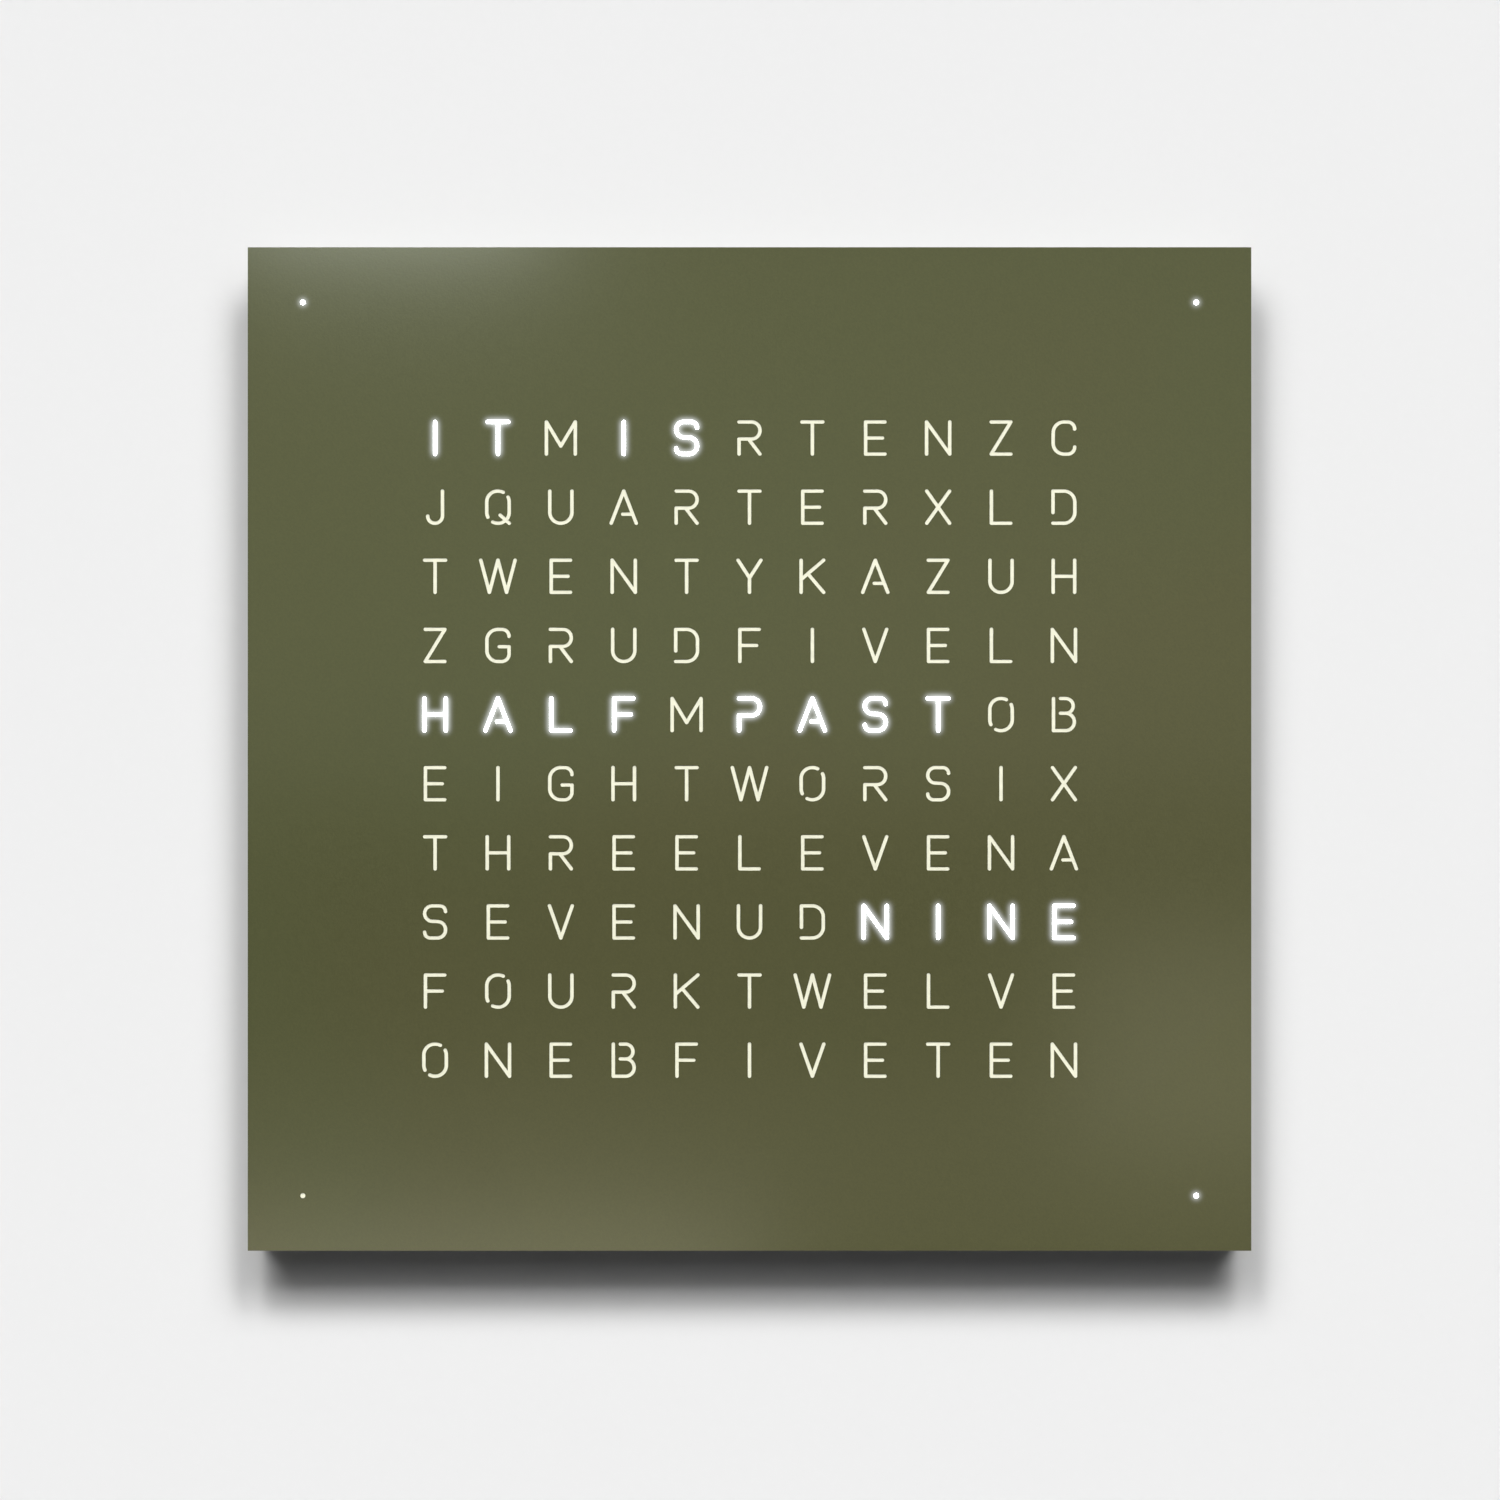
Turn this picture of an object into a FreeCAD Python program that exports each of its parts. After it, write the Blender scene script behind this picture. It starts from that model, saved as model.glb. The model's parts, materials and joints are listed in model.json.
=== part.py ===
"""Word clock for a wall: a stencilled steel face in front of a shallow case of lights.

Millimetres, +Z up. The wall is the plane y = 0, the face looks along -Y, and the origin is
the middle of the wall bracket's back. A depth is a distance from the wall, so y = -depth.
"""
import FreeCAD, Part
import math
import os
import re
import Sketcher
from FreeCAD import Vector

doc = FreeCAD.newDocument("word_clock")
sheet = doc.addObject("Spreadsheet::Sheet", "Sizes")
parts = []

# The dial, row by row. A lower-case letter is unlit and an upper-case one is lit.
DIAL = (
    "ITmISrtenzc",
    "jquarterxld",
    "twentykazuh",
    "zgrudfiveln",
    "HALFmPASTob",
    "eightworsix",
    "threelevena",
    "sevenudNINE",
    "fourktwelve",
    "onebfiveten",
)
BUTTONS = ("mode", "brightness", "hour", "minute")

# Driving sizes, one cell each
SIZES = {
    # Case
    "face_side": 450, "face_thick": 2, "face_overhang": 4,
    "housing_depth": 18, "housing_wall": 14, "housing_corner": 2,
    "wall_gap": 2, "pad_radius": 6, "pad_inset": 30,
    "back_thick": 1.5, "back_lip": 3.8, "back_play": 0.2,
    "back_screw_inset": 9, "back_screw_radius": 1.45, "screw_spare": 0.5,
    "back_head_radius": 2.8, "back_head_thick": 1.6, "drive_flats": 2.4, "drive_deep": 1,
    # Loose fits
    "hole_play": 0.1, "screw_play": 0.25, "thread_play": 0.05, "inlay_play": 0.02,
    # Face: letters and corner dots
    "columns": len(DIAL[0]), "rows": len(DIAL), "field_inset_across": 84, "field_inset_up": 85.5,
    "letter_tall": 14.4, "letter_stroke": 1.6, "letter_bridge": 1.5, "inlay_sink": 0.15,
    "dot_radius": 1.15, "dot_inset": 24.7,
    "diffuser_thick": 1.5, "diffuser_play": 1,
    "stud_radius": 2, "stud_reach": 8, "stud_floor": 0.5,
    "magnet_radius": 4, "magnet_thick": 4, "magnet_sink": 0.1, "magnet_pitch": 140,
    # Light matrix
    "board_margin": 10, "board_thick": 1.6, "board_space": 4.4, "board_split": 0.5,
    "led_side": 5, "led_thick": 1.6, "grid_web": 1.2, "grid_gap": 0.3,
    "post_radius": 2.5, "post_inset": 5, "post_end_inset": 15, "post_rows": 4,
    "board_screw_radius": 1.2, "board_head_radius": 2.4, "board_head_thick": 1.8,
    "board_screw_bite": 3,
    "link_across": 90, "link_wide": 16, "link_tall": 5, "link_thick": 2.4, "link_up": 8,
    "ribbon_thick": 0.8, "ribbon_inset": 2, "sensor_side": 3, "sensor_thick": 1, "sensor_offset": 8,
    # Corner lights
    "tube_radius": 5, "tube_bore": 3.8, "corner_board_wide": 18, "corner_board_tall": 12,
    "corner_board_gap": 0.7, "corner_pad_side": 10,
    # Controller
    "control_wide": 120, "control_tall": 30, "control_gap": 7,
    "control_post_inset": 6, "chip_thick": 1.4, "mcu_side": 12, "mcu_inset": 42,
    "driver_wide": 10, "driver_tall": 4, "driver_across": 8, "driver_pitch": 7, "driver_gap": 1,
    "cell_inset": 22, "cell_radius": 10, "cell_thick": 3.2, "holder_side": 23,
    "holder_thick": 4.2, "holder_floor": 0.6,
    "can_radius": 4, "can_tall": 7, "can_inset": 16, "can_pitch": 10,
    "coil_side": 8, "coil_thick": 4, "coil_inset": 27,
    "header_wide": 20, "header_tall": 5, "header_thick": 4, "header_edge": 0.5, "ribbon_wide": 17,
    # Radio antenna
    "rod_radius": 4, "rod_long": 60, "rod_inset": 17, "rod_air": 0.8,
    "coil_radius": 5.2, "coil_long": 22, "clip_wide": 12, "clip_long": 6,
    # Wiring
    "wire_radius": 0.8, "wire_bend": 4, "power_wire_radius": 1,
    "wire_inset": 31, "wire_step": 5, "wire_land": 2, "wire_air": 0.5,
    "plug_wide": 6, "plug_tall": 5, "plug_air": 0.4, "plug_inset": 10,
    "wire_clip_side": 8, "wire_clip_pitch": 100,
    # Power inlet
    "jack_across": 90, "jack_radius": 4, "jack_bore": 2.85, "jack_pin": 1.05, "jack_long": 18,
    "jack_bore_deep": 10, "jack_pin_long": 9, "jack_pin_root": 2, "recess_radius": 5.5, "recess_deep": 2,
    "nut_across_flats": 11, "nut_thick": 2,
    # Buttons
    "button_across": 90, "button_pitch": 20, "button_radius": 3,
    "button_out": 1.5, "button_flange": 4.2, "flange_thick": 1.2, "button_skin": 4,
    "stem_radius": 1.5, "stem_bore": 1.8, "button_travel": 0.8, "stem_spare": 0.4,
    "bay_wide": 80, "bay_deep": 11, "key_side": 6, "key_tall": 3.5,
    "key_bore_deep": 2.5, "key_board_wide": 96, "key_board_deep": 12,
    "key_screw_radius": 1.2, "key_screw_reach": 6,
    # Wall bracket
    "bracket_wide": 140, "bracket_drop": 32, "bracket_thick": 1.5, "tongue_up": 20,
    "tongue_across": 38, "tongue_wide": 30, "tongue_tall": 12, "tongue_gap": 0.3,
    "slot_play": 1, "wall_hole_radius": 2.25, "wall_hole_pitch": 80, "wall_hole_down": 8,
    "window_radius": 6, "window_spare": 0.5,
}

for row, (alias, number) in enumerate(SIZES.items(), start=1):
    sheet.set("A%d" % row, alias)
    sheet.set("B%d" % row, str(number))
    sheet.setAlias("B%d" % row, alias)
doc.recompute()

# Places worked out from the driving sizes
HOUSING_SIDE = "(face_side - 2 * face_overhang)"
HOUSING_HALF = "(face_side / 2 - face_overhang)"
OPENING_SIDE = "(face_side - 2 * face_overhang - 2 * housing_wall)"
OPENING_HALF = "(face_side / 2 - face_overhang - housing_wall)"
WALL_MIDDLE = "(face_side / 2 - face_overhang - housing_wall / 2)"
HOUSING_FRONT = "(wall_gap + housing_depth)"
FACE_FRONT = "(wall_gap + housing_depth + face_thick)"
CASE_MIDDLE = "(wall_gap + housing_depth / 2)"
BACK_FRONT = "(wall_gap + back_thick)"
BOARD_BACK = "(wall_gap + back_thick + board_space)"
BOARD_FRONT = "(wall_gap + back_thick + board_space + board_thick)"
DIFFUSER_BACK = "(wall_gap + housing_depth - diffuser_thick)"
DOT_ACROSS = "(face_side / 2 - dot_inset)"
BACK_REACH = "(housing_depth - back_thick - stud_reach - 2 * screw_spare - stud_floor)"
PITCH_ACROSS = "((face_side - 2 * field_inset_across) / (columns - 1))"
PITCH_DOWN = "((face_side - 2 * field_inset_up) / (rows - 1))"
BOARD_WIDE = "(columns * %s + 2 * board_margin)" % PITCH_ACROSS
BOARD_TALL = "(rows * %s / 2 + board_margin)" % PITCH_DOWN
POST_ACROSS = "(columns * %s / 2 + post_inset)" % PITCH_ACROSS
POST_PITCH = "(2 * (%s - post_end_inset) / (post_rows - 1))" % BOARD_TALL
CORNER_BOARD_ACROSS = "(%s - corner_board_gap - corner_board_wide / 2)" % OPENING_HALF
CORNER_BOARD_UP = "(%s - corner_board_gap - corner_board_tall / 2)" % OPENING_HALF
BACK_SIDE = "(face_side - 2 * face_overhang - 2 * back_lip - 2 * back_play)"
BACK_SCREW = "(face_side / 2 - face_overhang - back_screw_inset)"
CONTROL_DOWN = "(%s - control_gap - control_tall / 2)" % OPENING_HALF
CONTROL_TOP = "(-%s + control_tall / 2)" % CONTROL_DOWN
ROD_ACROSS = "(%s - rod_inset)" % OPENING_HALF
ROD_DEPTH = "(wall_gap + back_thick + rod_air + coil_radius)"
WIRE_LANE = "(%s - wire_inset)" % OPENING_HALF


def bound(text):
    """An expression with the sheet's name in front of each of its aliases."""
    return re.sub(r"[a-z_]+", lambda word: "Sizes." + word[0] if word[0] in SIZES else word[0], text)


def value(text):
    return float(sheet.evalExpression(bound(text)))


def body(label, many=False):
    new = doc.addObject("PartDesign::Body", label)
    new.Label = label
    new.AllowCompound = many
    parts.append(new)
    return new


def rectangle(sketch, wide, tall):
    corners = [Vector(x, y, 0) for x, y in ((-5, -5), (5, -5), (5, 5), (-5, 5))]
    first = sketch.GeometryCount
    for start, end in zip(corners, corners[1:] + corners[:1]):
        sketch.addGeometry(Part.LineSegment(start, end))
    for side in range(4):
        sketch.addConstraint(Sketcher.Constraint("Coincident", first + side, 2, first + (side + 1) % 4, 1))
        level = "Vertical" if side % 2 else "Horizontal"
        sketch.addConstraint(Sketcher.Constraint(level, first + side))
    sketch.addConstraint(Sketcher.Constraint("Symmetric", first, 1, first + 1, 2, -1, 1))
    across = sketch.addConstraint(Sketcher.Constraint("DistanceX", first, 1, first, 2, 10))
    upward = sketch.addConstraint(Sketcher.Constraint("DistanceY", first + 1, 1, first + 1, 2, 10))
    sketch.setExpression("Constraints[%d]" % across, bound(wide))
    sketch.setExpression("Constraints[%d]" % upward, bound(tall))


def circle(sketch, radius):
    ring = sketch.addGeometry(Part.Circle(Vector(0, 0, 0), Vector(0, 0, 1), 5))
    sketch.addConstraint(Sketcher.Constraint("Coincident", ring, 3, -1, 1))
    spread = sketch.addConstraint(Sketcher.Constraint("Radius", ring, 5))
    sketch.setExpression("Constraints[%d]" % spread, bound(radius))


def hexagon(sketch, flats):
    """A regular hexagon held by its circle, with a flat at each side."""
    turns = [math.radians(60 * side + 30) for side in range(6)]
    corners = [Vector(5 * math.cos(turn), 5 * math.sin(turn), 0) for turn in turns]
    for start, end in zip(corners, corners[1:] + corners[:1]):
        sketch.addGeometry(Part.LineSegment(start, end))
    guide = sketch.addGeometry(Part.Circle(Vector(0, 0, 0), Vector(0, 0, 1), 5), True)
    for side in range(6):
        sketch.addConstraint(Sketcher.Constraint("Coincident", side, 2, (side + 1) % 6, 1))
        sketch.addConstraint(Sketcher.Constraint("PointOnObject", side, 1, guide))
    for side in range(1, 6):
        sketch.addConstraint(Sketcher.Constraint("Equal", 0, side))
    sketch.addConstraint(Sketcher.Constraint("Coincident", guide, 3, -1, 1))
    sketch.addConstraint(Sketcher.Constraint("Vertical", 5))
    spread = sketch.addConstraint(Sketcher.Constraint("Radius", guide, 5))
    sketch.setExpression("Constraints[%d]" % spread, bound("%s / 2 / cos(30 deg)" % flats))


OUTLINES = {"rectangle": rectangle, "circle": circle, "hexagon": hexagon}
FORWARD = "XZ_Plane"
UPWARD = "XY_Plane"


def outline(owner, name, shapes, at, start, plane):
    """A sketch of centred shapes. Forward ones start at a depth, upward ones at a height."""
    sketch = owner.newObject("Sketcher::SketchObject", name + "_outline")
    level = next(item for item in owner.Origin.OriginFeatures if item.Role == plane)
    sketch.AttachmentSupport = [(level, "")]
    sketch.MapMode = "FlatFace"
    for kind, *sizes in shapes:
        OUTLINES[kind](sketch, *sizes)
    across, second = at
    sketch.setExpression(".AttachmentOffset.Base.x", bound(across))
    sketch.setExpression(".AttachmentOffset.Base.y", bound(second))
    sketch.setExpression(".AttachmentOffset.Base.z", bound(start))
    return sketch


def grow(owner, name, shapes, at, start, length, plane=FORWARD, cut=False):
    """Pads the shapes away from the wall, or upward, or cuts them the same way."""
    sketch = outline(owner, name, shapes, at, start, plane)
    before = owner.Shape.Volume if cut else 0
    feature = owner.newObject("PartDesign::" + ("Pocket" if cut else "Pad"), name)
    feature.Profile = sketch
    feature.Reversed = cut
    feature.setExpression("Length", bound(length))
    doc.recompute()
    if cut and owner.Shape.Volume >= before:
        raise RuntimeError(name + " cuts nothing")
    return feature


def repeat(owner, features, across=None, along=None):
    """Copies features in rows: across and along are pairs of a count and a pitch."""
    sketch = features[0].Profile[0]
    pattern = owner.newObject("PartDesign::LinearPattern", features[0].Name + "_copies")
    pattern.Originals = features
    first, second = ((across, "H_Axis"), (along, "V_Axis")) if across else ((along, "V_Axis"), (None, ""))
    pattern.Direction = (sketch, [first[1]])
    pattern.Mode = "Spacing"
    pattern.setExpression("Occurrences", bound(str(first[0][0])))
    pattern.setExpression("Offset", bound(first[0][1]))
    if second[0]:
        pattern.Direction2 = (sketch, [second[1]])
        pattern.Mode2 = "Spacing"
        pattern.setExpression("Occurrences2", bound(str(second[0][0])))
        pattern.setExpression("Offset2", bound(second[0][1]))
        pattern.Spacings2 = [-1] * (round(value(str(second[0][0]))) - 1)
    owner.Tip = pattern
    doc.recompute()


def block(label, wide, tall, thick, at, start, plane=FORWARD, across=None, along=None):
    """One box, or rows of equal boxes of which at is the first."""
    new = body(label, many=bool(across or along))
    pad = grow(new, label + "_pad", [("rectangle", wide, tall)], at, start, thick, plane)
    if across or along:
        repeat(new, [pad], across, along)
    return new


def disc(label, radius, thick, at, start, plane=FORWARD, across=None, along=None, bore=None):
    """One round piece, or rows of equal ones, with a bore where there is one."""
    new = body(label, many=bool(across or along))
    shapes = [("circle", radius)] + ([("circle", bore)] if bore else [])
    pad = grow(new, label + "_pad", shapes, at, start, thick, plane)
    if across or along:
        repeat(new, [pad], across, along)
    return new


def loose(label, shape):
    new = doc.addObject("Part::Feature", label)
    new.Label = label
    new.Shape = shape
    new.Placement = FreeCAD.Placement()
    parts.append(new)
    return new


def rounded(points, bend):
    """Straight edges joined by tangent arcs. A point's fourth value, if any, is its own bend."""
    spots = [Vector(*point[:3]) for point in points]
    bends = [point[3] if len(point) > 3 else bend for point in points]
    edges = []
    last = spots[0]
    for before, spot, after, radius in zip(spots, spots[1:], spots[2:], bends[1:]):
        back = (before - spot).normalize()
        ahead = (after - spot).normalize()
        half = back.getAngle(ahead) / 2
        room = min((last - spot).Length, (after - spot).Length / (1 if after is spots[-1] else 2))
        reach = min(radius / math.tan(half), room)
        if reach > 0.01:
            radius = reach * math.tan(half)
            middle = spot + (back + ahead).normalize() * (radius / math.sin(half) - radius)
            if (spot + back * reach - last).Length > 0.001:
                edges.append(Part.LineSegment(last, spot + back * reach).toShape())
            edges.append(Part.Arc(spot + back * reach, middle, spot + ahead * reach).toShape())
            last = spot + ahead * reach
        else:
            edges.append(Part.LineSegment(last, spot).toShape())
            last = spot
    if (spots[-1] - last).Length > 0.001:
        edges.append(Part.LineSegment(last, spots[-1]).toShape())
    return edges


# Letters: each is a width and its pen strokes, in shares of the cap height. A stroke's third
# value is the bend at that corner, and a bridge is a place where the sheet interrupts a stroke.
BOW = 0.34
LETTERS = {
    "A": (0.78, [[(0, 0), (0.5, 1), (1, 0)], [(0.86, 0.28), (0.46, 0.28)]], []),
    "B": (0.65, [[(0, 1), (0, 0), (1, 0, 0.27), (1, 0.54, 0.27), (0.34, 0.54)],
                 [(0.34, 1), (0.94, 1, 0.23), (0.94, 0.54, 0.23), (0.6, 0.54)]], []),
    "C": (0.67, [[(1, 0.78), (1, 1, BOW), (0, 1, BOW), (0, 0, BOW), (1, 0, BOW), (1, 0.22)]], []),
    "D": (0.68, [[(0, 0.33), (0, 1), (1, 1, BOW), (1, 0, BOW), (0, 0)]], []),
    "E": (0.6, [[(1, 1), (0, 1), (0, 0), (1, 0)], [(0, 0.5), (0.87, 0.5)]], []),
    "F": (0.6, [[(1, 1), (0, 1), (0, 0)], [(0, 0.5), (0.87, 0.5)]], []),
    "G": (0.69, [[(1, 0.78), (1, 1, BOW), (0, 1, BOW), (0, 0, BOW), (1, 0, BOW), (1, 0.46),
                  (0.56, 0.46)]], []),
    "H": (0.67, [[(0, 0), (0, 1)], [(1, 0), (1, 1)], [(0, 0.5), (1, 0.5)]], []),
    "I": (0, [[(0, 0), (0, 1)]], []),
    "J": (0.46, [[(1, 1), (1, 0, 0.23), (0, 0, 0.23), (0, 0.22)]], []),
    "K": (0.7, [[(0, 0), (0, 1)], [(1, 1), (0, 0.4)], [(0.3, 0.58), (1, 0)]], []),
    "L": (0.6, [[(0, 1), (0, 0), (1, 0)]], []),
    "M": (0.9, [[(0, 0), (0, 1), (0.5, 0.25), (1, 1), (1, 0)]], []),
    "N": (0.72, [[(0, 0), (0, 1), (1, 0), (1, 1)]], []),
    "O": (0.7, [[(0.5, 1), (0, 1, BOW), (0, 0, BOW), (1, 0, BOW), (1, 1, BOW), (0.5, 1)]],
          [(0.86, 0.9), (0.14, 0.1)]),
    "Q": (0.7, [[(0.5, 1), (0, 1, BOW), (0, 0, BOW), (1, 0, BOW), (1, 1, BOW), (0.5, 1)],
                [(0.6, 0.25), (1, 0)]],
          [(0.86, 0.9), (0.14, 0.1)]),
    "P": (0.65, [[(0, 1), (1, 1, 0.26), (1, 0.47, 0.26), (0, 0.47), (0, 0)]], []),
    "R": (0.65, [[(0, 1), (1, 1, 0.26), (1, 0.47, 0.26), (0, 0.47), (0, 0)], [(0.45, 0.47), (1, 0)]], []),
    "S": (0.65, [[(1, 0.82), (1, 1, 0.25), (0, 1, 0.25), (0, 0.53, 0.25), (1, 0.5, 0.25), (1, 0, 0.25),
                  (0, 0, 0.25), (0, 0.18)]], []),
    "T": (0.65, [[(0, 1), (1, 1)], [(0.5, 1), (0.5, 0)]], []),
    "U": (0.69, [[(0, 1), (0, 0, BOW), (1, 0, BOW), (1, 1)]], []),
    "V": (0.71, [[(0, 1), (0.5, 0), (1, 1)]], []),
    "W": (1.07, [[(0, 1), (0.25, 0), (0.5, 1), (0.75, 0), (1, 1)]], []),
    "X": (0.71, [[(0, 1), (1, 0)], [(1, 1), (0, 0)]], []),
    "Y": (0.71, [[(0, 1), (0.5, 0.45), (1, 1)], [(0.5, 0.45), (0.5, 0)]], []),
    "Z": (0.61, [[(0, 1), (1, 1), (0, 0), (1, 0)]], []),
}


def pen_line(wire, half):
    """The outline of one stroke with round ends."""
    if len(wire.Edges) > 1 or wire.Edges[0].Curve.TypeId != "Part::GeomLine":
        return Part.Face(wire.makeOffset2D(half, 0, False, False, True))
    foot, head = (vertex.Point for vertex in wire.Vertexes)
    along = (head - foot).normalize() * half
    side = Vector(-along.z, 0, along.x)
    edges = [
        Part.LineSegment(foot + side, head + side).toShape(),
        Part.Arc(head + side, head + along, head - side).toShape(),
        Part.LineSegment(head - side, foot - side).toShape(),
        Part.Arc(foot - side, foot - along, foot + side).toShape(),
    ]
    return Part.Face(Part.Wire(edges))


def letter_face(letter, half):
    """One letter's flat outline about its own middle, drawn with a pen of the given half width."""
    tall = value("letter_tall")
    share, strokes, bridges = LETTERS[letter]
    left = -share * tall / 2

    def spot(point):
        place = (left + point[0] * share * tall, 0, (point[1] - 0.5) * tall)
        return place + tuple(tall * bend for bend in point[2:])

    reach = value("letter_bridge / 2 + letter_stroke / 2")
    gaps = [Part.makeSphere(reach, Vector(*spot(bridge))) for bridge in bridges]
    faces = []
    for stroke in strokes:
        line = Part.Wire(rounded([spot(point) for point in stroke], 0))
        runs = [line] if not gaps else [
            Part.Wire(run) for run in Part.sortEdges(line.cut(gaps).Edges)]
        faces += [pen_line(run, half) for run in runs]
    if len(faces) == 1:
        return faces[0]
    return faces[0].multiFuse(faces[1:]).removeSplitter()


def letter_solids(half, depth, thick, lit=None):
    """The dial's letters as solids: all of them, or only the lit or the unlit ones."""
    solids = []
    drawn = {}
    for row, text in enumerate(DIAL):
        for column, letter in enumerate(text):
            if lit is not None and letter.isupper() != lit:
                continue
            name = letter.upper()
            if name not in drawn:
                drawn[name] = letter_face(name, half).extrude(Vector(0, -thick, 0))
            across = (column - (len(text) - 1) / 2) * value(PITCH_ACROSS)
            up = ((len(DIAL) - 1) / 2 - row) * value(PITCH_DOWN)
            solids.append(drawn[name].translated(Vector(across, -depth, up)))
    return solids


def front_plate():
    """Steel face with the letters and the corner dots cut right through it."""
    plate = doc.addObject("Part::Box", "face_blank")
    plate.setExpression("Length", bound("face_side"))
    plate.setExpression("Width", bound("face_thick"))
    plate.setExpression("Height", bound("face_side"))
    plate.setExpression(".Placement.Base.x", bound("-face_side / 2"))
    plate.setExpression(".Placement.Base.y", bound("-" + FACE_FRONT))
    plate.setExpression(".Placement.Base.z", bound("-face_side / 2"))
    depth = value(HOUSING_FRONT)
    thick = value("face_thick")
    openings = letter_solids(value("letter_stroke / 2"), depth - thick, 3 * thick)
    across = value(DOT_ACROSS)
    for side in (-1, 1):
        for level in (-1, 1):
            foot = Vector(side * across, -(depth - thick), level * across)
            openings.append(Part.makeCylinder(value("dot_radius"), 3 * thick, foot, Vector(0, -1, 0)))
    stencil = doc.addObject("Part::Feature", "face_openings")
    stencil.Shape = Part.makeCompound(openings)
    face = doc.addObject("Part::Cut", "front_plate")
    face.Base = plate
    face.Tool = stencil
    face.Label = "front_plate"
    parts.append(face)


def inlays():
    """Cast resin in each letter and dot, a hair behind the face, standing on the diffuser."""
    half = value("letter_stroke / 2 - inlay_play")
    depth = value(HOUSING_FRONT)
    thick = value("face_thick - inlay_sink")
    loose("letter_inlays", Part.makeCompound(letter_solids(half, depth, thick, lit=False)))
    loose("lit_letter_inlays", Part.makeCompound(letter_solids(half, depth, thick, lit=True)))
    disc("unlit_dot_inlay", "dot_radius - inlay_play", "face_thick - inlay_sink",
         ("-" + DOT_ACROSS, "-" + DOT_ACROSS), HOUSING_FRONT)
    lit = body("lit_dot_inlays", many=True)
    for name, across, up in (("top_left", "-", ""), ("top_right", "", ""), ("low_right", "", "-")):
        grow(lit, name, [("circle", "dot_radius - inlay_play")], (across + DOT_ACROSS, up + DOT_ACROSS),
             HOUSING_FRONT, "face_thick - inlay_sink")


def front_cover():
    front_plate()
    inlays()
    block("diffuser_sheet", OPENING_SIDE + " - 2 * diffuser_play", OPENING_SIDE + " - 2 * diffuser_play",
          "diffuser_thick", ("0", "0"), DIFFUSER_BACK)
    corner = "-" + WALL_MIDDLE
    disc("locating_studs", "stud_radius", "stud_reach", (corner, corner), HOUSING_FRONT + " - stud_reach",
         across=(2, "2 * " + WALL_MIDDLE), along=(2, "2 * " + WALL_MIDDLE))


def back_screw_rows(owner, shapes, start, length, name, cut=False):
    """The same feature at each of the screws round the back: three along top and foot, two between."""
    low = "-" + BACK_SCREW
    first = grow(owner, name, shapes, (low, low), start, length, cut=cut)
    repeat(owner, [first], (3, BACK_SCREW), (2, "2 * " + BACK_SCREW))
    second = grow(owner, name + "_side", shapes, (low, "0"), start, length, cut=cut)
    repeat(owner, [second], (2, "2 * " + BACK_SCREW))


def magnet_rows(owner, shapes, start, length, name, cut=False):
    """Three magnets to each side of the case."""
    edge = "-" + WALL_MIDDLE
    level = grow(owner, name, shapes, ("-magnet_pitch", edge), start, length, cut=cut)
    repeat(owner, [level], (3, "magnet_pitch"), (2, "2 * " + WALL_MIDDLE))
    upright = grow(owner, name + "_upright", shapes, (edge, "-magnet_pitch"), start, length, cut=cut)
    repeat(owner, [upright], (2, "2 * " + WALL_MIDDLE), (3, "magnet_pitch"))


BAY_FLOOR = "(-" + HOUSING_HALF + " + button_skin)"
KEY_SCREW = "(key_board_wide / 4 + bay_wide / 4)"
FIRST_BUTTON = "button_across - button_pitch * %d / 2" % (len(BUTTONS) - 1)


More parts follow.
